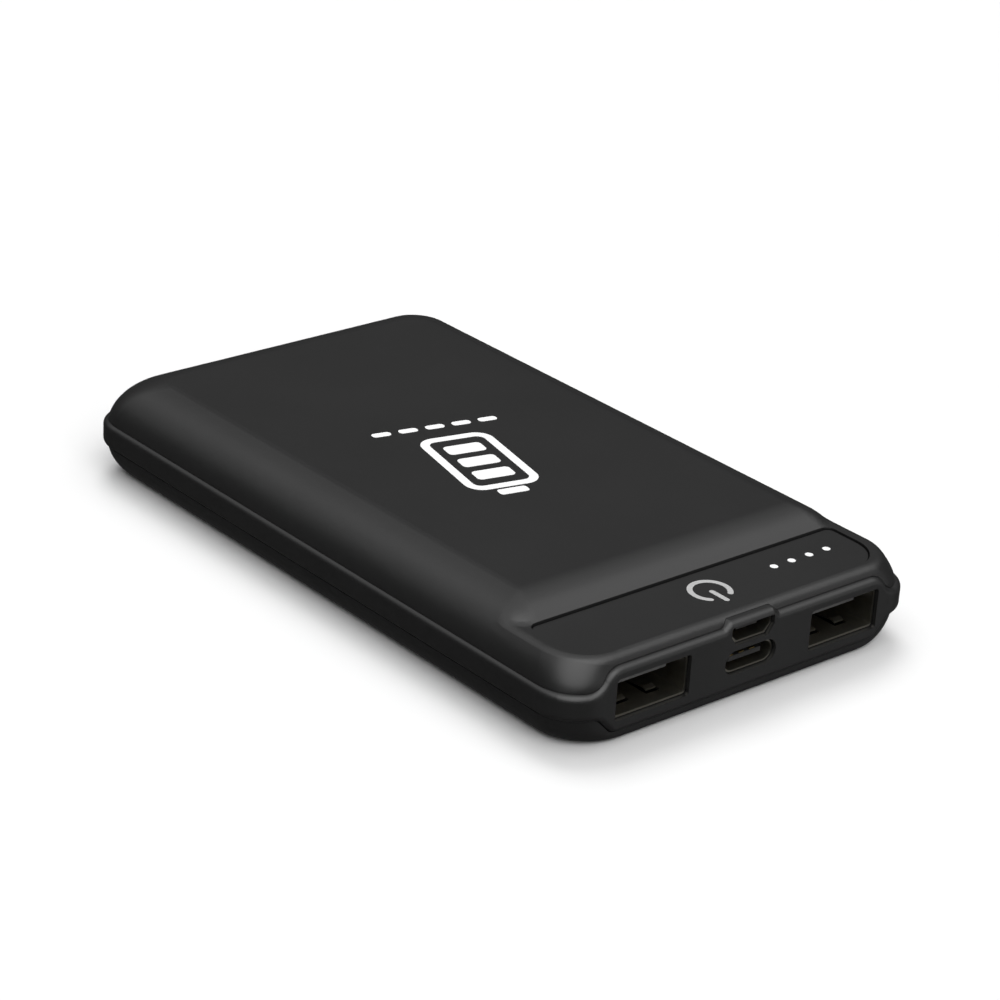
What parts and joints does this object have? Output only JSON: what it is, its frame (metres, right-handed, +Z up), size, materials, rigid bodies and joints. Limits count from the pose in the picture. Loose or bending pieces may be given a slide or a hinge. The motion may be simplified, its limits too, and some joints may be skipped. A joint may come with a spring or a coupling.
{
  "type": "power bank",
  "caption": "Flat pocket power bank: bevelled covers on a middle frame with USB-A, USB-C and micro-USB sockets, and a press key with charge windows.",
  "frame": {"origin": "bottom centre of the case, on the surface it lies on", "axes": "+Z up out of the printed top; +X across the width; the sockets face -Y and the length runs along Y"},
  "size_m": [0.0644, 0.1102, 0.015],
  "materials": {
    "soft_black_plastic": "soft-touch matte",
    "key_black_plastic": "fine matte",
    "symbol_grey": "matte print-like inlay",
    "window_white": "translucent white",
    "clear_plastic": "clear",
    "connector_steel": "nickel plated",
    "connector_plastic": "moulded",
    "connector_black": "moulded",
    "contact_gold": "gold plated",
    "board_green": "solder mask over fibreglass",
    "screw_steel": "zinc plated",
    "chip_black": "moulded",
    "ferrite_grey": "pressed ferrite",
    "ceramic_tan": "sintered",
    "led_yellow": "phosphor resin",
    "pouch_silver": "laminated foil",
    "nickel": "nickel strip",
    "lead_red": "silicone sleeve",
    "lead_black": "silicone sleeve",
    "foam_grey": "closed-cell foam",
    "tape_yellow": "double-sided tape"
  },
  "bodies": {
    "case": {"top_cover": "soft_black_plastic", "bottom_cover": "soft_black_plastic", "mid_frame": "soft_black_plastic", "light_guide": "clear_plastic", "status_lights": "led_yellow", "main_board": "board_green", "board_screws": "screw_steel", "usb_a_shell_left": "connector_steel", "usb_a_shell_right": "connector_steel", "usb_a_insulator_left": "connector_plastic", "usb_a_insulator_right": "connector_plastic", "usb_a_contacts_left": "contact_gold", "usb_a_contacts_right": "contact_gold", "usb_c_shell": "connector_steel", "usb_c_tongue": "connector_black", "usb_c_contacts": "contact_gold", "micro_usb_shell": "connector_steel", "micro_usb_tongue": "connector_black", "micro_usb_contacts": "contact_gold", "switch_body": "connector_black", "switch_plate": "connector_steel", "power_chip": "chip_black", "inductor": "ferrite_grey", "capacitors": "ceramic_tan", "resistors": "chip_black", "battery_cell": "pouch_silver", "guard_board": "board_green", "battery_tabs": "nickel", "battery_lead_red": "lead_red", "battery_lead_black": "lead_black", "cell_tape": "tape_yellow", "foam_pad": "foam_grey"},
    "key": {"control_key": "key_black_plastic", "power_symbol_inlay": "symbol_grey", "charge_windows": "window_white"},
    "switch_stem": {"switch_stem": "connector_black"}
  },
  "joints": [
    {"name": "key_press", "type": "slide", "parent": "case", "child": "key", "axis": [0, 0, -1], "range_m": [0, 0.00025], "stiffness_N_per_m": 4000, "springref_m": -0.0001},
    {"name": "stem_press", "type": "slide", "parent": "case", "child": "switch_stem", "axis": [0, 0, -1], "range_m": [0, 0.00025], "stiffness_N_per_m": 0.5, "springref_m": -0.0002}
  ],
  "couplings": [
    {"joint": "stem_press", "follows": "key_press", "ratio": 1}
  ]
}
